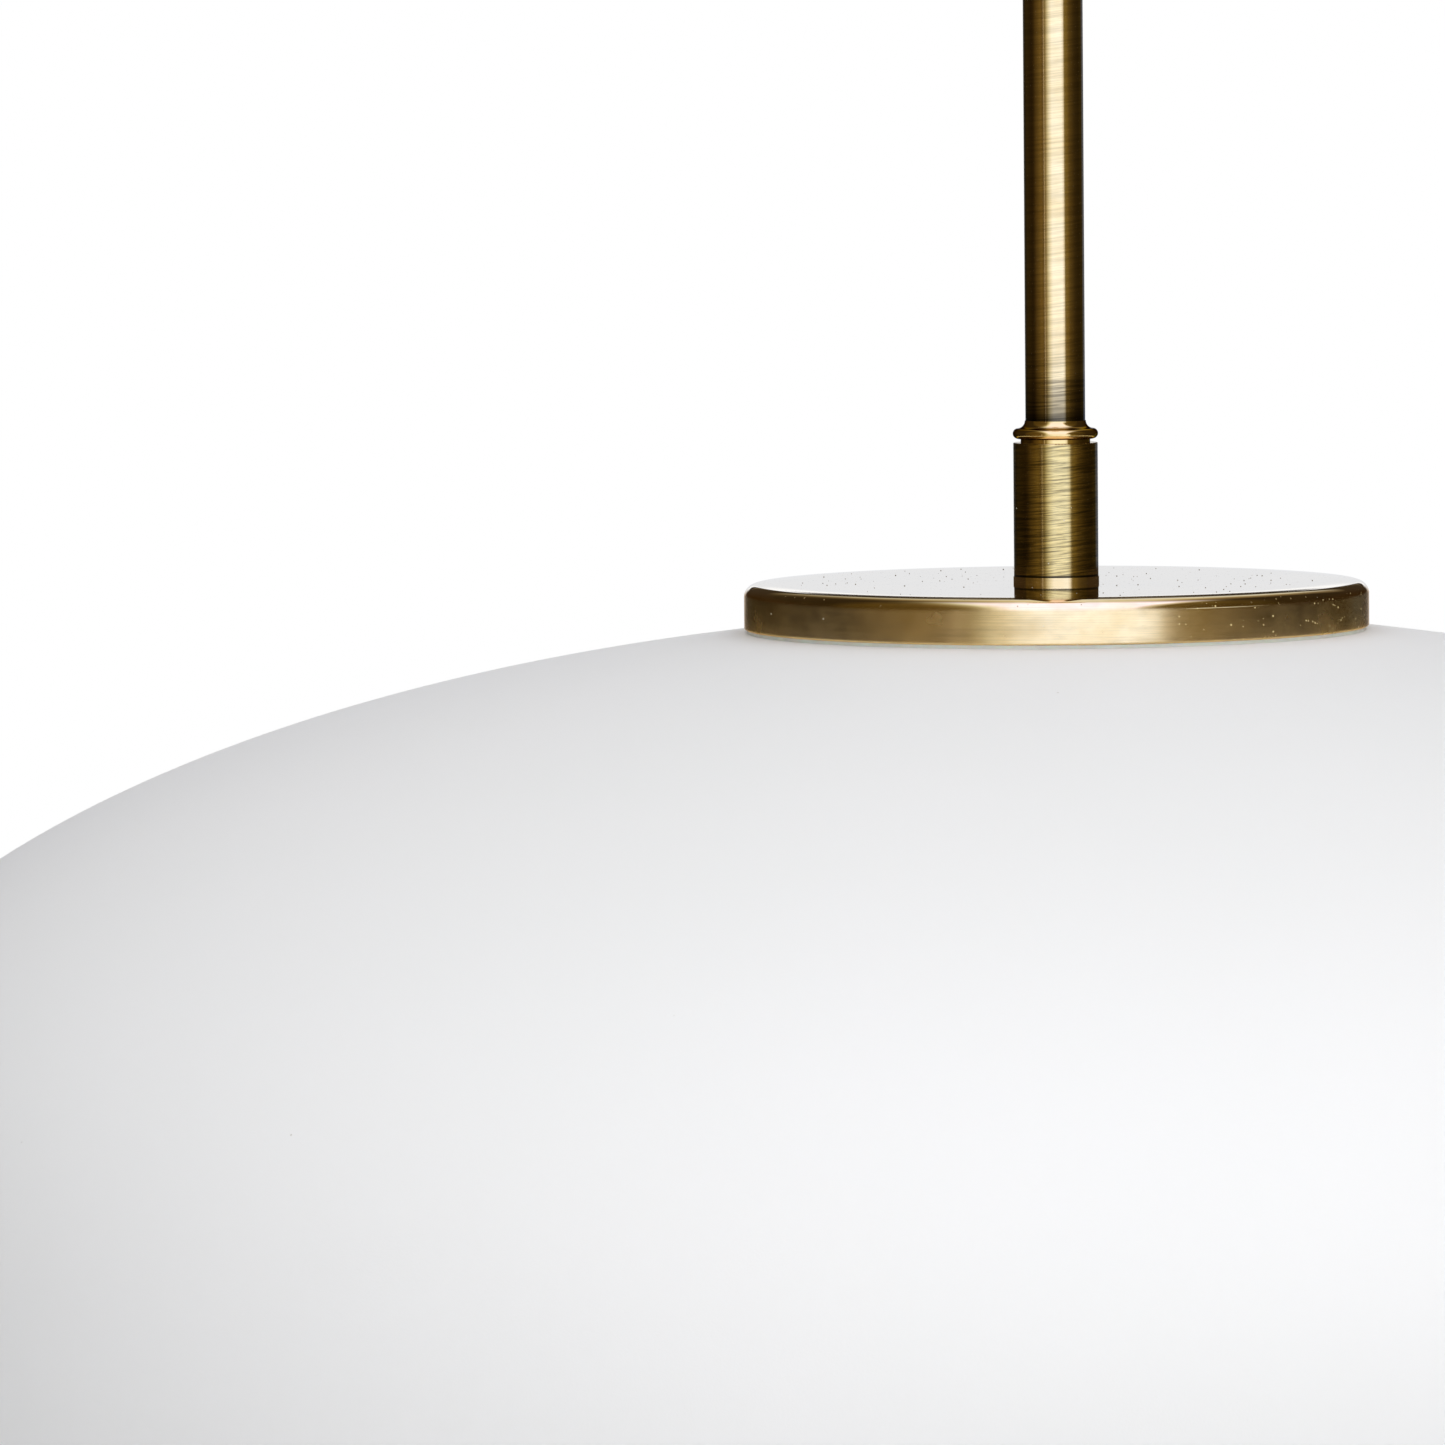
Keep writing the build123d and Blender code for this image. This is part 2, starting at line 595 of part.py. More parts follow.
def holder_core(side):
    """Insulated core from the stripped sheath to its terminal on the porcelain."""
    top, foot = cap_level(STRIPPED_DEPTH), cap_level(HOLDER_SPLIT + 2.5)
    start_x, end_x, first, last = side * CORE_SIDE, side * CORE_END, 2.5, 5.0
    path = FilletPolyline(
        (start_x, 0, top), (start_x, 0, top - first), (end_x, 0, foot + last),
        (end_x, 0, foot), radius=HOLDER_BEND_R,
    )
    return sweep(Plane(path @ 0, z_dir=path % 0) * Circle(CORE_R), path)


# ---------------------------------------------------------------- shade
def glass_shade():
    """Blown opal glass, a closed ellipsoid with one ground hole at the top."""
    profile = Ellipse(SHADE_A, SHADE_B) - Ellipse(SHADE_A - GLASS_T, SHADE_B - GLASS_T)
    profile &= Pos(SHADE_A, 0) * Rectangle(2 * SHADE_A, 4 * SHADE_B)
    seat = cap_level(NECK_SEAT) - SHADE_Z
    ground = Rectangle(2 * GROUND_SEAT_R, SHADE_B, align=(Align.CENTER, Align.MIN))
    profile -= Pos(0, seat) * ground
    profile -= Pos(0, SHADE_B) * Rectangle(2 * NECK_HOLE_R, SHADE_B)
    return revolve(Plane.XZ * Pos(0, SHADE_Z) * profile, Axis.Z)


def neck_ring():
    """Aluminium ring bonded into the glass's hole, with the thread for the cap."""
    top, seat = cap_level(NECK_RING_TOP), cap_level(NECK_SEAT)
    foot = seat - NECK_RING_DEPTH
    sleeve = NECK_HOLE_R - 0.3
    return turned(
        (NECK_RING_IN_R, foot), (sleeve, foot), (sleeve, seat),
        (NECK_RING_R, seat), (NECK_RING_R, top), (NECK_RING_IN_R, top),
    )


def shade_gasket():
    """White silicone seal between the cap's rim and the glass."""
    inner, outer = GASKET_R
    low, high = SHADE_Z, cap_level(CAP_H) - 0.02
    profile = Pos((inner + outer) / 2, (low + high) / 2) * Rectangle(outer - inner, high - low)
    profile -= Pos(0, SHADE_Z) * Ellipse(SHADE_A, SHADE_B)
    return revolve(Plane.XZ * profile, Axis.Z)


# ---------------------------------------------------------------- bulb
def bulb_screw_cap():
    """Nickel-plated E27 cap."""
    sheet, wave = 0.35, 0.6
    outline = wavy_wall(
        BULB_CAP_R - wave, BULB_CAP_R, cap_level(BULB_CAP_FOOT), cap_level(BULB_CAP_TOP), sheet
    )
    return turned(*outline)


def bulb_insulator():
    """Black glass cone between the screw cap and the tip."""
    top, foot = cap_level(BULB_TIP + BULB_TIP_H), cap_level(BULB_CAP_TOP)
    foot_r, top_r, step = 12.0, 5.2, 0.8
    return turned((0, foot), (foot_r, foot), (foot_r - 0.5, foot + step), (top_r, top), (0, top))


def bulb_tip():
    """Solder tip."""
    foot, top = cap_level(BULB_TIP + BULB_TIP_H), cap_level(BULB_TIP)
    r, edge = BULB_TIP_R, 0.3
    return turned((0, foot), (r, foot), (r - 2 * edge, top - edge), (r - 1.6, top), (0, top))


def bulb_housing():
    """White plastic cone that carries the LED board."""
    neck, waist = cap_level(BULB_CAP_FOOT), cap_level(BULB_WAIST)
    waist_r = math.sqrt(BULB_R**2 - (BULB_CENTRE - BULB_WAIST) ** 2)
    neck_r, collar_r, collar_foot, flank_r = BULB_CAP_R + 0.2, BULB_CAP_R + 0.6, neck - 4.0, 90.0
    lines = Polyline((0, neck), (neck_r, neck), (collar_r, collar_foot))
    lines += RadiusArc((collar_r, collar_foot), (waist_r, waist), flank_r)
    lines += Polyline((waist_r, waist), (0, waist), (0, neck))
    return turned_from(lines)


def bulb_envelope():
    """Frosted plastic dome."""
    waist, centre = cap_level(BULB_WAIST), cap_level(BULB_CENTRE)
    waist_r = math.sqrt(BULB_R**2 - (waist - centre) ** 2)
    inner_r = BULB_R - BULB_SKIN
    inner_waist_r = math.sqrt(inner_r**2 - (waist - centre) ** 2)
    quarter = math.cos(math.radians(30))
    lines = ThreePointArc(
        (waist_r, waist), (BULB_R * quarter, centre - BULB_R / 2), (0, centre - BULB_R)
    )
    lines += Line((0, centre - BULB_R), (0, centre - inner_r))
    lines += ThreePointArc(
        (0, centre - inner_r), (inner_r * quarter, centre - inner_r / 2),
        (inner_waist_r, waist),
    )
    lines += Line((inner_waist_r, waist), (waist_r, waist))
    return turned_from(lines)


def bulb_led_board():
    """Round board with a ring of LEDs, under the housing."""
    top = cap_level(BULB_WAIST)
    board = rod(BOARD_R, top - BOARD_T, top)
    led = Pos(LED_CIRCLE_R, 0, top - BOARD_T - LED_SIZE[2]) * Box(*LED_SIZE, align=FROM_FOOT)
    for n in range(LEDS):
        board += Rot(0, 0, 360 / LEDS * n) * led
    return board


# ---------------------------------------------------------------- the whole light
def all_parts():
    live_x, neutral_x, core_y = -1.3, 1.3, -0.75
    return {
        "ceiling_bracket": ceiling_bracket(),
        "canopy": canopy(),
        "canopy_side_screws": canopy_side_screws(),
        "seat_ring": seat_ring(),
        "terminal_block": terminal_block(),
        "terminal_screws": terminal_screws(),
        "terminal_mount_screw": terminal_mount_screw(),
        "cord_grip": cord_grip(),
        "canopy_lead": canopy_lead(),
        "supply_core_live": supply_core(live_x, core_y, POLES_X[0]),
        "supply_core_neutral": supply_core(neutral_x, core_y, POLES_X[2]),
        "supply_core_earth": supply_core(0.0, 1.5, POLES_X[1]),
        "swivel_cup": swivel_cup(),
        "swivel_ball": swivel_ball(),
        "stem_rod": stem_rod(),
        "stem_lead": stem_lead(),
        "swivel_spindle": swivel_spindle(),
        "swivel_sleeve": swivel_sleeve(),
        "retaining_screw": retaining_screw(),
        "base_washer": base_washer(),
        "shade_cap": shade_cap(),
        "cap_thread_ring": cap_thread_ring(),
        "threaded_nipple": threaded_nipple(),
        "lock_washer": lock_washer(),
        "nipple_nut": nipple_nut(),
        "holder_dome": holder_dome(),
        "holder_body": holder_body(),
        "holder_insert": holder_insert(),
        "holder_screw_shell": holder_screw_shell(),
        "holder_centre_contact": holder_centre_contact(),
        "head_lead": head_lead(),
        "holder_core_live": holder_core(-1),
        "holder_core_neutral": holder_core(1),
        "glass_shade": glass_shade(),
        "neck_ring": neck_ring(),
        "shade_gasket": shade_gasket(),
        "bulb_screw_cap": bulb_screw_cap(),
        "bulb_insulator": bulb_insulator(),
        "bulb_tip": bulb_tip(),
        "bulb_housing": bulb_housing(),
        "bulb_led_board": bulb_led_board(),
        "bulb_envelope": bulb_envelope(),
    }


os.makedirs("parts", exist_ok=True)
for name, shape in all_parts().items():
    export_step(shape, f"parts/{name}.step")
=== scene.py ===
"""The looks of a pendant ceiling light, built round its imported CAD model. Metres, +Z up.

The light hangs in -Z from the origin, on the ceiling. The photograph looks along +Y.
"""

import json
import math
import random

import bmesh
import bpy
from mathutils import Matrix, Vector


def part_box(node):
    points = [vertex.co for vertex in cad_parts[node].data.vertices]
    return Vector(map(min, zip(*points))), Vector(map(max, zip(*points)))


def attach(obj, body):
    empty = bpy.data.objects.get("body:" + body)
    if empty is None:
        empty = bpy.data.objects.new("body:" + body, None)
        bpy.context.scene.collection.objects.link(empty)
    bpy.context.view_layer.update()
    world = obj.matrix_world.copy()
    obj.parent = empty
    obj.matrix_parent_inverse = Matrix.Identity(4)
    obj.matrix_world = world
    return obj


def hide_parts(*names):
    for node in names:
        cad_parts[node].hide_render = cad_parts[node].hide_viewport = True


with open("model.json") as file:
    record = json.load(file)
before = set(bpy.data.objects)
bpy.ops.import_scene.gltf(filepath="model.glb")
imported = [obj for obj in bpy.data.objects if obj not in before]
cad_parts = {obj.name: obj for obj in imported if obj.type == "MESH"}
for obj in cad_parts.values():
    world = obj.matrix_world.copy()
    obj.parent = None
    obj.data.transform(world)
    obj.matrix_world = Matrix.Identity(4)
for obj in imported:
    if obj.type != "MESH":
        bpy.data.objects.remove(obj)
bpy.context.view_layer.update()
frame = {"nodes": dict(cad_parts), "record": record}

MM = 0.001
NODES = frame["nodes"]


# ---------------------------------------------------------------- sizes, from the frame
def radius_of(node):
    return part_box(node)[1].x


def top_of(node):
    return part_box(node)[1].z


def foot_of(node):
    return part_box(node)[0].z


CAP_TOP = top_of("shade_cap")
CAP_FOOT = foot_of("shade_cap")
CAP_R = radius_of("shade_cap")
SHADE_R = radius_of("glass_shade")
SHADE_FOOT = foot_of("glass_shade")
SHADE_FLATNESS = 92.5 / 215.0
SHADE_HALF_HEIGHT = SHADE_R * SHADE_FLATNESS
SHADE_Z = SHADE_FOOT + SHADE_HALF_HEIGHT


# ---------------------------------------------------------------- meshes
def lathe(name, outline, segments):
    """Smooth mesh turned about Z from a closed outline of (radius, z)."""
    made = bmesh.new()
    rings = []
    for r, z in outline:
        ring = []
        for n in range(segments):
            angle = 2 * math.pi * n / segments
            ring.append(made.verts.new((r * math.cos(angle), r * math.sin(angle), z)))
        rings.append(ring)
    for n, ring in enumerate(rings):
        after = rings[(n + 1) % len(rings)]
        for m in range(segments):
            k = (m + 1) % segments
            made.faces.new((ring[m], ring[k], after[k], after[m]))
    return finished(name, made)


def finished(name, made):
    """Smooth object from a bmesh, with doubled points joined and faces turned outwards."""
    bmesh.ops.remove_doubles(made, verts=made.verts, dist=1e-7)
    bmesh.ops.recalc_face_normals(made, faces=made.faces)
    mesh = bpy.data.meshes.new(name)
    made.to_mesh(mesh)
    made.free()
    for polygon in mesh.polygons:
        polygon.use_smooth = True
    thing = bpy.data.objects.new(name, mesh)
    bpy.context.scene.collection.objects.link(thing)
    return thing


def place(piece, body, node, slot, look):
    """The piece stands for a CAD node, rides on its body and gets its material."""
    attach(piece, body)
    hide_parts(node)
    piece.data.materials.clear()
    piece.data.materials.append(look)
    return piece


# ---------------------------------------------------------------- shader building
class Look:
    """A procedural material, with short ways to add and join its nodes."""

    def __init__(self, name, **sockets):
        self.material = bpy.data.materials.new(name)
        self.material.use_nodes = True
        self.tree = self.material.node_tree
        self.surface = self.tree.nodes["Principled BSDF"]
        for socket, value in sockets.items():
            self.surface.inputs[socket.replace("_", " ")].default_value = value

    def add(self, kind, inputs=(), **settings):
        node = self.tree.nodes.new("ShaderNode" + kind)
        for key, value in settings.items():
            setattr(node, key, value)
        for key, value in dict(inputs).items():
            if isinstance(value, bpy.types.NodeSocket):
                self.tree.links.new(value, node.inputs[key])
            else:
                node.inputs[key].default_value = value
        return node

    def sum(self, operation, first, second=0.0):
        return self.add("Math", {0: first, 1: second}, operation=operation).outputs[0]

    def place_in_metres(self):
        return self.add("TexCoord").outputs["Object"]

    def stretched(self, across, along, slant=0.0):
        """Coordinates scaled by across in X and Y and by along in Z.

        Lines in them drop by slant for each unit of X.
        """
        parts = self.add("SeparateXYZ", {0: self.place_in_metres()})
        rise = self.sum("MULTIPLY", parts.outputs["X"], slant)
        level = self.sum("ADD", parts.outputs["Z"], rise)
        return self.add(
            "CombineXYZ",
            {
                "X": self.sum("MULTIPLY", parts.outputs["X"], across),
                "Y": self.sum("MULTIPLY", parts.outputs["Y"], across),
                "Z": self.sum("MULTIPLY", level, along),
            },
        ).outputs[0]

    def noise(self, vector, scale=1.0, detail=2.0, roughness=0.5, distortion=0.0):
        inputs = {
            "Vector": vector, "Scale": scale, "Detail": detail,
            "Roughness": roughness, "Distortion": distortion,
        }
        return self.add("TexNoise", inputs).outputs["Fac"]

    def ramp(self, value, *stops):
        """Value or colour that runs through (position, colour or grey) stops."""
        node = self.add("ValToRGB", {"Fac": value})
        band = node.color_ramp
        while len(band.elements) < len(stops):
            band.elements.new(0.5)
        for element, (position, colour) in zip(band.elements, stops):
            element.position = position
            element.color = (colour, colour, colour, 1) if isinstance(colour, float) else (*colour, 1)
        return node.outputs["Color"]

    def mix(self, factor, first, second, blend="MIX"):
        inputs = {"Fac": factor, "Color1": first, "Color2": second}
        return self.add("MixRGB", inputs, blend_type=blend).outputs["Color"]

    def specks(self, size, share, radius=0.32):
        """1 in small round specks about size apart, in that share of the places, and 0 elsewhere."""
        cells = self.add("TexVoronoi", {"Vector": self.place_in_metres(), "Scale": 1 / size})
        chance = self.add("SeparateColor", {"Color": cells.outputs["Color"]})
        chosen = self.sum("LESS_THAN", chance.outputs["Red"], share)
        wide = self.sum("MULTIPLY", chance.outputs["Green"], radius)
        near = self.sum("LESS_THAN", cells.outputs["Distance"], wide)
        return self.sum("MULTIPLY", chosen, near)

    def bump(self, height, distance):
        inputs = {"Height": height, "Distance": distance}
        self.join(self.add("Bump", inputs).outputs["Normal"], "Normal")

    def join(self, output, socket):
        self.tree.links.new(output, self.surface.inputs[socket])


GOLD = (0.92, 0.68, 0.33)
SATIN_GOLD = (0.79, 0.575, 0.215)
DUST = (0.86, 0.78, 0.58)
PIT = (0.20, 0.13, 0.06)
FLECK = (0.80, 0.62, 0.28)
STAIN = (0.70, 0.52, 0.20)
# Colour of the painted highlight line on the cap's wall.
PAINTED_HIGHLIGHT = (0.95, 0.78, 0.45)
TARNISH_HEIGHT = 18 * MM    # of the rod, above the spindle
HIGHLIGHT_LINE_DROP = 2.0 * MM     # of the painted highlight line on the cap's wall, below its top


class Brass(Look):
    """Lacquered brass with fine lines round it, uneven colour, pits and dust."""

    def __init__(self, name, roughness, coat, gold=GOLD, directional=0.0):
        super().__init__(
            name, Metallic=1.0, Roughness=roughness, Coat_Weight=coat, Coat_Roughness=0.04,
            Coat_IOR=1.6, Anisotropic=directional, Anisotropic_Rotation=0.25,
        )
        cloud = self.noise(self.place_in_metres(), 160.0, 3.0, 0.6)
        deeper = tuple(c * d for c, d in zip(gold, (0.94, 0.90, 0.80)))
        self.colour = self.mix(self.ramp(cloud, (0.35, 0.0), (0.65, 1.0)), (*gold, 1), (*deeper, 1))
        self.rough = self.ramp(cloud, (0.3, roughness * 0.85), (0.7, roughness * 1.2))
        self.metal = 1.0

    def line_shade(self, across, along, slant, edges, depth, detail=3.0):
        """Lines, level or at a slant: depth is what is left of the colour in the darkest."""
        fine = self.noise(self.stretched(across, along, slant), 1.0, detail, 0.6, 0.3)
        return self.ramp(fine, (edges[0], depth), (edges[1], 1.0))

    def lines(self, *pattern):
        """Dark lines all over."""
        self.darken(self.line_shade(*pattern))

    def height_above(self, z, reach):
        """0 at a level, 1 that far above it."""
        level = self.add("SeparateXYZ", {0: self.place_in_metres()}).outputs["Z"]
        return self.sum("DIVIDE", self.sum("SUBTRACT", level, z), reach)

    def darken(self, shade):
        self.colour = self.mix(1.0, self.colour, shade, "MULTIPLY")

    def spotted(self, size, share, colour, radius=0.32, where=1.0):
        """Specks of another colour that don't shine."""
        spots = self.specks(size, share, radius)
        spots = self.sum("MULTIPLY", spots, where)
        self.colour = self.mix(spots, self.colour, (*colour, 1))
        self.metal = self.sum("MULTIPLY", self.metal, self.sum("SUBTRACT", 1.0, spots))
        return spots

    def done(self):
        self.join(self.colour, "Base Color")
        self.join(self.rough, "Roughness")
        if self.metal != 1.0:
            self.join(self.metal, "Metallic")
        return self.material


def rod_brass():
    """Fine lines round the rod; near its foot they are coarser and the lacquer has darkened."""
    look = Brass("rod_brass", roughness=0.10, coat=0.2)
    look.lines(60.0, 1900.0, -0.12, (0.38, 0.60), 0.78)
    look.lines(300.0, 9000.0, -0.12, (0.30, 0.60), 0.88, 2.0)
    height = look.height_above(top_of("swivel_spindle"), TARNISH_HEIGHT)
    coarse = look.line_shade(90.0, 3000.0, -0.06, (0.40, 0.54), 0.50)
    look.darken(look.mix(look.ramp(height, (0.35, 0.0), (0.85, 1.0)), coarse, (1, 1, 1, 1)))
    look.darken(look.ramp(
        height, (0.02, 0.14), (0.05, 0.24), (0.10, 0.44), (0.16, 0.56), (0.28, 0.68), (0.40, 0.95),
        (0.5, 1.0),
    ))
    look.spotted(1.6 * MM, 0.03, DUST, 0.10)
    look.spotted(2.6 * MM, 0.03, PIT, 0.12)
    return look.done()


def spindle_brass():
    """Polished hub and bead; a dark specular tint paints shade on them where they turn away."""
    look = Brass("spindle_brass", roughness=0.06, coat=0.0, gold=(0.84, 0.60, 0.24))
    # Painted shade: the dark specular tint darkens the reflection on the sides of the hub and bead.
    look.surface.inputs["Specular Tint"].default_value = (0.20, 0.12, 0.06, 1)
    look.lines(50.0, 5200.0, 0.0, (0.30, 0.60), 0.85)
    look.spotted(0.9 * MM, 0.05, PIT, 0.14)
    return look.done()


def sleeve_brass():
    """Satin sleeve with short dark streaks across it, and a thin darker band at its foot."""
    look = Brass("sleeve_brass", roughness=0.13, coat=0.2, gold=SATIN_GOLD)
    look.lines(140.0, 3300.0, -0.10, (0.40, 0.54), 0.45, 4.0)
    look.lines(260.0, 5600.0, -0.04, (0.36, 0.56), 0.74, 2.0)
    look.lines(120.0, 700.0, -0.10, (0.35, 0.55), 0.86)
    # The lowest part of the sleeve, where it sits on the washer, is darkened.
    foot = look.height_above(foot_of("swivel_sleeve"), 0.45 * MM)
    look.darken(look.ramp(foot, (0.6, 0.10), (1.0, 1.0)))
    look.spotted(1.3 * MM, 0.06, DUST, 0.13)
    return look.done()


def cap_brass():
    """Polished on top, brushed round the wall; pits in the top, dust and flecks on the wall, and a painted
    highlight line on its front.
    """
    look = Brass("cap_brass", roughness=0.24, coat=1.0, directional=0.6)
    facing = look.add("SeparateXYZ", {0: look.add("TexCoord").outputs["Normal"]}).outputs["Z"]
    flat = look.ramp(facing, (0.25, 0.0), (0.75, 1.0))
    polish = look.ramp(facing, (0.10, 0.0), (0.45, 1.0))
    wall = look.sum("SUBTRACT", 1.0, flat)
    look.lines(40.0, 6000.0, 0.0, (0.30, 0.62), 0.84)
    blotch = look.noise(look.stretched(90.0, 260.0), 1.0, 3.0, 0.6, 0.4)
    look.darken(look.ramp(blotch, (0.38, 0.86), (0.55, 1.0)))
    look.rough = look.mix(polish, look.rough, (0.045, 0.045, 0.045, 1))
    look.join(look.mix(flat, (0.80, 0.62, 0.40, 1), (1, 1, 1, 1)), "Specular Tint")
    place = look.add("SeparateXYZ", {0: look.place_in_metres()})
    right = look.sum("MULTIPLY", look.ramp(place.outputs["X"], (0.014, 0.0), (0.024, 1.0)), wall)
    look.spotted(1.1 * MM, 0.10, DUST, 0.15, wall)
    look.spotted(0.5 * MM, 0.18, FLECK, 0.36, right)
    look.spotted(1.7 * MM, 0.14, STAIN, 0.20, right)
    # Painted highlight: a bright level line across the front of the wall.
    painted_highlight_line(look, place)
    pits = look.spotted(0.8 * MM, 0.22, PIT, 0.30, flat)
    look.join(look.sum("SUBTRACT", flat, pits), "Coat Weight")
    return look.done()


def painted_highlight_line(look, place):
    """Painted highlight: a bright level line on the front of the cap's wall, right of the rod."""
    half_width = 0.06 * MM
    level = {0: place.outputs["Z"], 1: CAP_TOP - HIGHLIGHT_LINE_DROP, 2: half_width}
    line = look.add("Math", level, operation="COMPARE").outputs[0]
    span = look.ramp(place.outputs["X"], (0.0210, 0.0), (0.0215, 1.0), (0.0310, 1.0), (0.0318, 0.0))
    front = look.sum("LESS_THAN", place.outputs["Y"], 0.0)
    line = look.sum("MULTIPLY", look.sum("MULTIPLY", line, span), front)
    look.colour = look.mix(line, look.colour, (*PAINTED_HIGHLIGHT, 1))
    dull = look.sum("SUBTRACT", 1.0, look.sum("MULTIPLY", line, 0.6))
    look.metal = look.sum("MULTIPLY", look.metal, dull)


def turned_brass(name, roughness):
    """Plain turned brass, with level lines."""
    look = Brass(name, roughness, coat=0.3)
    look.lines(50.0, 2600.0, 0.0, (0.3, 0.6), 0.8)
    look.spotted(1.5 * MM, 0.03, DUST, 0.10)
    return look.done()


def opal_look():
    """Satin opal glass, with a trace of haze and a few faint specks."""
    look = Look("opal_glass", Roughness=0.5, IOR=1.5, Specular_IOR_Level=0.08,
                Subsurface_Weight=0.1, Subsurface_Scale=0.001)
    look.surface.inputs["Subsurface Radius"].default_value = (1.0, 0.95, 0.9)
    haze = look.noise(look.place_in_metres(), 14.0, 3.0, 0.5)
    clear, hazy = (0.925, 0.925, 0.935, 1), (0.915, 0.918, 0.925, 1)
    colour = look.mix(look.ramp(haze, (0.35, 0.0), (0.65, 1.0)), clear, hazy)
    faint = look.specks(5 * MM, 0.10, 0.05)
    look.join(look.mix(faint, colour, (0.72, 0.71, 0.69, 1)), "Base Color")
    grain = look.noise(look.place_in_metres(), 2500.0, 2.0, 0.5)
    look.bump(grain, 0.02 * MM)
    return look.material


def plain_look(name, colour, roughness, metallic=0.0, variation=0.12, scale=300.0, grain=1500.0,
               bump=0.01 * MM, **sockets):
    """Moulded or plated surface: slight cloudy variation in colour and gloss, and fine grain."""
    look = Look(name, Metallic=metallic, Roughness=roughness, **sockets)
    cloud = look.noise(look.place_in_metres(), scale, 3.0, 0.55)
    darker = tuple(c * (1 - variation) for c in colour)
    look.join(look.mix(look.ramp(cloud, (0.3, 0.0), (0.7, 1.0)), (*colour, 1), (*darker, 1)), "Base Color")
    look.join(look.ramp(cloud, (0.3, roughness * 0.85), (0.7, min(1.0, roughness * 1.2))), "Roughness")
    look.bump(look.noise(look.place_in_metres(), grain, 2.0, 0.5), bump)
    return look.material


# ---------------------------------------------------------------- studio
VIEW_DISTANCE = 2.5         # from the rod to the camera, level
VIEW_RISE = 3.2             # degrees the camera is above the cap's top
VIEW_PAN = 1.28             # degrees to the left of the rod
VIEW_TILT = 3.73            # degrees downwards
VIEW_ROLL = -0.45           # the photograph leans a little
LENS = 374.0
FLOOR_DROP = 0.5
FLOOR_HALF = 1.4
FRONT_LIGHT, SIDE_LIGHT, TOP_LIGHT, ROOM_LIGHT = 2.40, 0.31, 1.39, 0.01


def camera():
    """Long lens, a little above the cap, with the rod right of the middle."""
    pan, tilt = math.radians(VIEW_PAN), math.radians(VIEW_TILT)
    rise = VIEW_DISTANCE * math.tan(math.radians(VIEW_RISE))
    ahead = Vector((-math.sin(pan) * math.cos(tilt), math.cos(pan) * math.cos(tilt), -math.sin(tilt)))
    lens = bpy.data.cameras.new("camera")
    lens.lens = LENS
    lens.clip_start, lens.clip_end = 0.1, 100.0
    eye = bpy.data.objects.new("camera", lens)
    eye.rotation_mode = "QUATERNION"
    eye.location = (0, -VIEW_DISTANCE, CAP_TOP + rise)
    level = ahead.to_track_quat("-Z", "Y")
    eye.rotation_quaternion = Matrix.Rotation(math.radians(-VIEW_ROLL), 3, ahead).to_quaternion() @ level
    bpy.context.scene.collection.objects.link(eye)
    bpy.context.scene.camera = eye


def side_to_side(world, x, *stops):
    """Colour by how far a direction points to the right: (from -1 to 1, colour) stops."""
    return world.ramp(x, *[((place + 1) / 2, colour) for place, colour in stops])


class World(Look):
    """The same short ways for the world's nodes."""

    def __init__(self):
        studio = bpy.data.worlds.new("studio")
        bpy.context.scene.world = studio
        studio.use_nodes = True
        studio.cycles.sampling_method = "NONE"
        self.tree = studio.node_tree
        self.surface = self.tree.nodes["Background"]
        self.direction = self.add("TexCoord").outputs["Generated"]


def lobe(world, direction, strength):
    """Soft light from that side: its strength falls with the square of the cosine."""
    inputs = {0: world.direction, 1: Vector(direction).normalized()}
    facing = world.add("VectorMath", inputs, operation="DOT_PRODUCT").outputs["Value"]
    facing = world.sum("MAXIMUM", facing)
    return world.sum("MULTIPLY", world.sum("MULTIPLY", facing, facing), strength)


BOX, GLARE, STRIP = (1.30, 1.54, 2.30), (1.40, 1.54, 2.85), (0.62, 0.58, 0.55)
DIM = (0.04, 0.028, 0.016)
WHITE = (1.05, 1.05, 1.05)


def low_lights(world, across):
    """What is in front, level with the light: the softbox and a strip lamp left of it."""
    return side_to_side(
        world, across,
        (-1.00, (0.034, 0.022, 0.009)), (-0.95, (0.085, 0.058, 0.020)), (-0.77, (0.18, 0.13, 0.045)),
        (-0.62, (0.130, 0.095, 0.040)), (-0.61, STRIP), (-0.59, STRIP), (-0.58, (0.20, 0.16, 0.08)),
        (-0.50, (0.30, 0.27, 0.17)), (-0.42, (0.62, 0.64, 0.60)), (-0.28, (1.02, 1.14, 1.40)), (-0.10, BOX),
        (0.52, BOX), (0.63, (0.98, 1.08, 1.40)), (0.665, (0.30, 0.25, 0.13)), (0.72, (0.21, 0.17, 0.07)),
        (0.80, (0.20, 0.15, 0.050)), (0.88, (0.120, 0.086, 0.029)), (1.00, (0.055, 0.039, 0.015)),
    )


def middle_lights(world, across):
    """What is above the front: the bright middle of the softbox."""
    return side_to_side(
        world, across,
        (-1.00, (0.09, 0.063, 0.02)), (-0.75, (0.12, 0.085, 0.028)), (-0.60, (0.15, 0.11, 0.045)),
        (-0.50, (0.26, 0.22, 0.13)), (-0.42, (0.52, 0.52, 0.45)), (-0.36, (0.98, 1.10, 1.30)), (-0.26, GLARE),
        (0.44, GLARE), (0.50, (0.80, 0.82, 0.90)), (0.57, (0.18, 0.14, 0.06)), (0.75, (0.11, 0.08, 0.028)),
        (1.00, (0.06, 0.043, 0.016)),
    )


def high_lights(world, across):
    """What is overhead: the softbox's far end, narrow and warm at its sides."""
    return side_to_side(
        world, across,
        (-0.55, (0.040, 0.028, 0.014)), (-0.42, (0.07, 0.052, 0.024)), (-0.30, (0.18, 0.14, 0.08)),
        (-0.18, (0.45, 0.42, 0.30)), (-0.08, (0.72, 0.72, 0.62)), (0.05, (0.95, 1.00, 1.00)),
        (0.20, (0.75, 0.76, 0.66)), (0.30, (0.36, 0.30, 0.20)), (0.40, (0.18, 0.14, 0.08)),
        (0.52, (0.040, 0.028, 0.014)),
    )


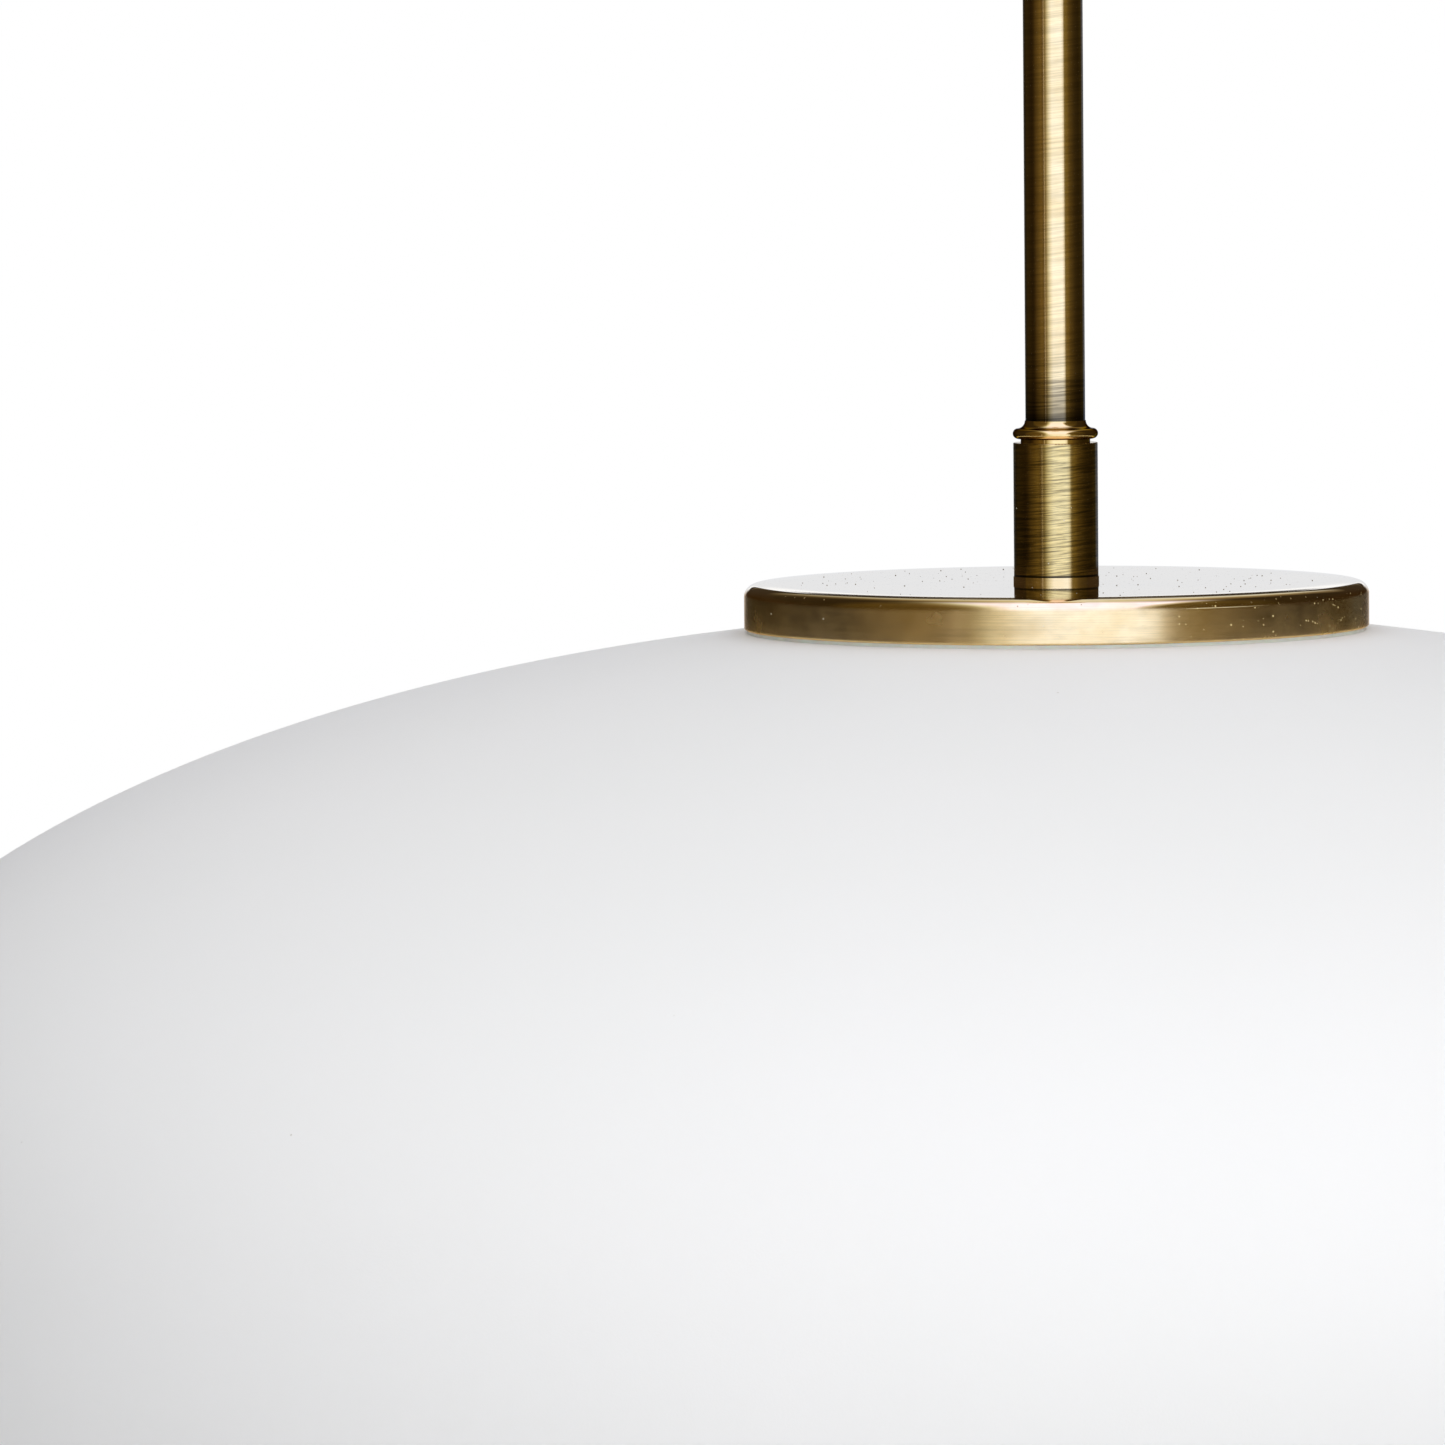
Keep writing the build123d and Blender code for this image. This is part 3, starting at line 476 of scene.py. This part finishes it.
def paper_behind(world, height):
    """White paper behind the light, with a dark gap and a thin warm line above it."""
    return world.ramp(
        height, (0.535, (0.80, 0.81, 0.83)), (0.545, WHITE), (0.553, WHITE), (0.558, DIM), (0.575, DIM),
        (0.580, (0.24, 0.19, 0.12)), (0.586, (0.24, 0.19, 0.12)), (0.592, DIM),
    )


def reflected_room(world):
    """What the metal mirrors: a softbox that arches from the front over the light, in a dark room."""
    parts = world.add("SeparateXYZ", {0: world.direction})
    across, back, height = (
        world.sum("ADD", world.sum("MULTIPLY", parts.outputs[axis], 0.5), 0.5) for axis in "XYZ"
    )
    ahead = world.sum("MULTIPLY", parts.outputs["Y"], -1.0)
    arch = world.sum("ARCTAN2", parts.outputs["Z"], ahead)
    arch = world.sum("MULTIPLY", arch, 1 / math.pi)

    low = low_lights(world, across)
    fade = world.ramp(back, (0.38, 1.0), (0.66, 0.32), (0.92, 0.08))
    low = world.mix(1.0, low, fade, "MULTIPLY")
    room = world.mix(world.ramp(arch, (0.03, 0.0), (0.13, 1.0)), low, middle_lights(world, across))
    room = world.mix(world.ramp(arch, (0.44, 0.0), (0.60, 1.0)), room, high_lights(world, across))
    room = world.mix(world.ramp(arch, (0.845, 0.0), (0.875, 1.0)), room, (0.045, 0.030, 0.016, 1))
    narrow = world.ramp(back, (0.986, 0.0), (0.992, 1.0))
    behind = world.sum("MULTIPLY", narrow, world.ramp(height, (0.60, 1.0), (0.61, 0.0)))
    return world.mix(behind, room, paper_behind(world, height))


def soft_dome(world):
    """The even light on everything that isn't shiny."""
    front = lobe(world, (0.1, -1, -0.6), FRONT_LIGHT)
    soft = world.sum("ADD", front, lobe(world, (1, 0, 0.5), SIDE_LIGHT))
    soft = world.sum("ADD", soft, lobe(world, (0, 0, 1), TOP_LIGHT))
    soft = world.sum("ADD", soft, ROOM_LIGHT)
    return world.add("CombineColor", {"Red": soft, "Green": soft, "Blue": soft}).outputs["Color"]


def studio_light():
    """Soft even light, the softbox and room in reflections, and white behind everything."""
    world = World()
    path = world.add("LightPath")
    lit = world.mix(path.outputs["Is Diffuse Ray"], reflected_room(world), soft_dome(world))
    world.join(world.mix(path.outputs["Is Camera Ray"], lit, (1, 1, 1, 1)), "Color")


def floor():
    """Pale plain floor below the light."""
    made = bmesh.new()
    bmesh.ops.create_grid(made, x_segments=8, y_segments=8, size=FLOOR_HALF)
    plane = finished("floor", made)
    plane.location.z = SHADE_FOOT - FLOOR_DROP
    paper = plain_look("floor_paper", (0.80, 0.80, 0.79), 0.8, variation=0.02, scale=3.0)
    plane.data.materials.append(paper)


# ---------------------------------------------------------------- materials for every CAD node
def finishes():
    return {
        "brass": turned_brass("brass", 0.14),
        "rod_brass": rod_brass(),
        "spindle_brass": spindle_brass(),
        "sleeve_brass": sleeve_brass(),
        "cap_brass": cap_brass(),
        "washer_brass": turned_brass("washer_brass", 0.12),
        "grit": plain_look("grit", (0.40, 0.35, 0.28), 0.8),
        "plain_brass": turned_brass("plain_brass", 0.30),
        "opal_glass": opal_look(),
        "zinc_steel": plain_look("zinc_steel", (0.62, 0.63, 0.66), 0.35, 1.0, scale=500.0),
        "spring_bronze": plain_look("spring_bronze", (0.72, 0.45, 0.25), 0.28, 1.0),
        "nylon": plain_look("nylon", (0.83, 0.82, 0.78), 0.45, Subsurface_Weight=0.2, Subsurface_Scale=0.002),
        "terminal_plastic": plain_look("terminal_plastic", (0.80, 0.79, 0.74), 0.5),
        "lead_sheath": plain_look("lead_sheath", (0.75, 0.74, 0.71), 0.5, scale=90.0),
        "brown_core": plain_look("brown_core", (0.16, 0.07, 0.035), 0.42),
        "blue_core": plain_look("blue_core", (0.04, 0.14, 0.42), 0.42),
        "earth_core": plain_look("earth_core", (0.20, 0.42, 0.06), 0.42),
        "aluminium": plain_look("aluminium", (0.77, 0.78, 0.79), 0.32, 1.0, grain=900.0),
        "bakelite": plain_look("bakelite", (0.022, 0.020, 0.019), 0.28, bump=0.02 * MM),
        "porcelain": plain_look("porcelain", (0.85, 0.84, 0.79), 0.22, Coat_Weight=0.6, Coat_Roughness=0.08),
        "silicone": plain_look("silicone", (0.88, 0.84, 0.76), 0.5, Subsurface_Weight=0.3,
                               Subsurface_Scale=0.002),
        "nickel": plain_look("nickel", (0.68, 0.66, 0.62), 0.22, 1.0),
        "solder": plain_look("solder", (0.55, 0.55, 0.56), 0.38, 1.0, scale=900.0, bump=0.04 * MM),
        "black_glass": plain_look("black_glass", (0.015, 0.015, 0.017), 0.12),
        "bulb_plastic": plain_look("bulb_plastic", (0.84, 0.84, 0.83), 0.32),
        "bulb_frost": plain_look("bulb_frost", (0.88, 0.88, 0.86), 0.55, Subsurface_Weight=0.4,
                                 Subsurface_Scale=0.004),
        "led_board": plain_look("led_board", (0.80, 0.80, 0.78), 0.4),
        "brass_screw": turned_brass("brass_screw", 0.25),
    }


OWN_FINISH = {
    "stem_rod": "rod_brass", "swivel_spindle": "spindle_brass", "swivel_sleeve": "sleeve_brass",
    "base_washer": "washer_brass",
}


def dress(looks):
    """Gives every CAD node the finish of its slot, or its own where it looks different."""
    for part in frame["record"]["subparts"]:
        name, slot = part["node"], part["material_slot"]
        node = NODES[name]
        node.data.materials.clear()
        node.data.materials.append(looks[OWN_FINISH.get(name, slot)])


# ---------------------------------------------------------------- pieces
def arc(centre, radius, start, stop, steps):
    """Points of an arc, from one angle to another in degrees."""
    points = []
    for n in range(steps + 1):
        angle = math.radians(start + (stop - start) * n / steps)
        points.append((centre[0] + radius * math.cos(angle), centre[1] + radius * math.sin(angle)))
    return points


def shade_cap(look):
    """Turned disc. Polishing has worn the top away a little towards its edge."""
    wall, hole, edge, wear = 1.4 * MM, 5.1 * MM, 2.0 * MM, 5.0 * MM
    lowest, foot_edge, bevel = 0.16 * MM, 0.25 * MM, 0.2 * MM
    rim_top = CAP_TOP - lowest
    outline = [(hole, CAP_TOP - wall), (hole, CAP_TOP - bevel), (hole + bevel, CAP_TOP)]
    outline.append((hole + 2 * bevel, CAP_TOP))
    flat_end = CAP_R - edge - wear
    for n in range(9):
        share = n / 8
        outline.append((flat_end + wear * share, CAP_TOP - lowest * share**2))
    outline += arc((CAP_R - edge, rim_top - edge), edge, 86, 0, 14)
    outline += [(CAP_R, rim_top - edge - 0.3 * MM), (CAP_R, CAP_FOOT + foot_edge + 0.2 * MM)]
    outline += arc((CAP_R - foot_edge, CAP_FOOT + foot_edge), foot_edge, 0, -90, 5)
    inner, small = CAP_R - wall, 0.1 * MM
    outline += [(inner + small, CAP_FOOT), (inner, CAP_FOOT + small), (inner, CAP_TOP - wall)]
    return place(lathe("cap_disc", outline, 256), "lower_head", "shade_cap", "brass", look)


def glass_shade(look):
    """Blown saucer of opal glass with a ground hole in the top."""
    hole, thickness = 40.0 * MM, 2.6 * MM
    steps = 120
    outline = []
    for inset, order in ((0.0, range(steps + 1)), (thickness, range(steps, -1, -1))):
        a, b = SHADE_R - inset, SHADE_HALF_HEIGHT - inset
        first = math.acos(hole / a)
        for n in order:
            angle = first + (-math.pi / 2 - first) * n / steps
            outline.append((a * math.cos(angle), SHADE_Z + b * math.sin(angle)))
    return place(lathe("shade_glass", outline, 320), "shade", "glass_shade", "opal_glass", look)


def dust_on_cap(look, grains=110):
    """Fine grains of dust that lie on the cap's top."""
    pick = random.Random(7)
    made = bmesh.new()
    off_sleeve, off_edge = 1 * MM, 8 * MM
    inner, outer = radius_of("swivel_sleeve") + off_sleeve, CAP_R - off_edge
    for _ in range(grains):
        r, turn = math.sqrt(pick.uniform(inner**2, outer**2)), pick.uniform(0, 2 * math.pi)
        size = pick.uniform(0.03, 0.08) * MM
        spot = Vector((r * math.cos(turn), r * math.sin(turn), CAP_TOP + 0.6 * size))
        shape = Matrix.Translation(spot) @ Matrix.Diagonal((1.6, 1.2, 1.0, 1.0))
        bmesh.ops.create_icosphere(made, subdivisions=1, radius=size, matrix=shape)
    dust = finished("cap_dust", made)
    dust.data.materials.append(look)
    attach(dust, "lower_head")


bpy.context.scene.view_settings.view_transform = "Standard"
camera()
studio_light()
floor()
looks = finishes()
dress(looks)
shade_cap(looks["cap_brass"])
glass_shade(looks["opal_glass"])
dust_on_cap(looks["grit"])
